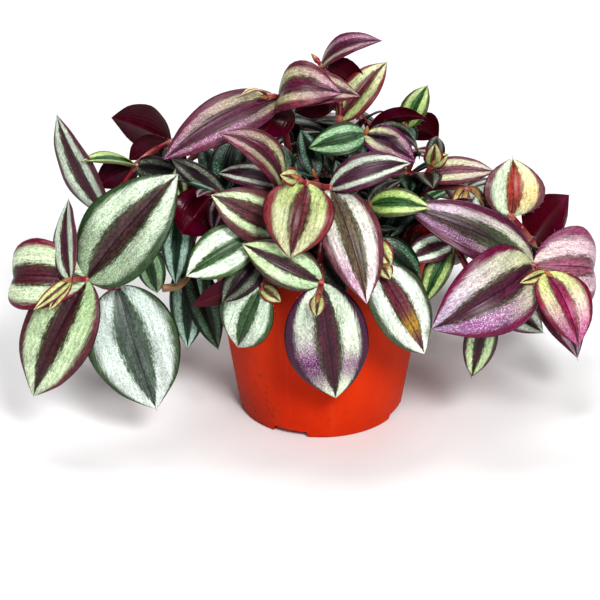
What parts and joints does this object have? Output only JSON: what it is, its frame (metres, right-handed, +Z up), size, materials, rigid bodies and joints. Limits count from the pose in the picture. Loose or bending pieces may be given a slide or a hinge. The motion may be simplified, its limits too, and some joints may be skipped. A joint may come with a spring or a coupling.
{
  "type": "potted tradescantia",
  "caption": "Trailing houseplant with pointed, silver-striped leaves on fleshy stems, growing from soil in a round tapered plastic nursery pot that stands on its base.",
  "frame": {"origin": "centre of the pot's base, on the surface that it stands on", "axes": "+Z up along the pot's axis; -Y towards the side that the picture shows, +X to its right"},
  "size_m": [0.2644, 0.2196, 0.177],
  "materials": {
    "terracotta_plastic": "satin",
    "potting_soil": "rough, granular",
    "foliage": "satin, silver stripes over plum and green, glossy burgundy below"
  },
  "bodies": {
    "root": {"pot": "terracotta_plastic", "soil": "potting_soil", "back_1": "foliage", "back_2": "foliage", "back_3": "foliage", "back_4": "foliage", "back_5": "foliage", "back_6": "foliage", "back_7": "foliage", "crown": "foliage", "crown_right": "foliage", "front_high": "foliage", "front_left": "foliage", "front_left_high": "foliage", "front_left_low": "foliage", "front_low": "foliage", "front_right_low": "foliage", "left_back": "foliage", "left_low": "foliage", "left_mid": "foliage", "left_rim": "foliage", "low_1": "foliage", "right_back": "foliage", "right_cluster": "foliage", "right_hang": "foliage", "right_mid": "foliage", "right_peak": "foliage", "right_top": "foliage", "top_1": "foliage", "top_2": "foliage", "top_3": "foliage", "top_5": "foliage", "top_6": "foliage", "top_8": "foliage", "top_left": "foliage"}
  },
  "joints": []
}
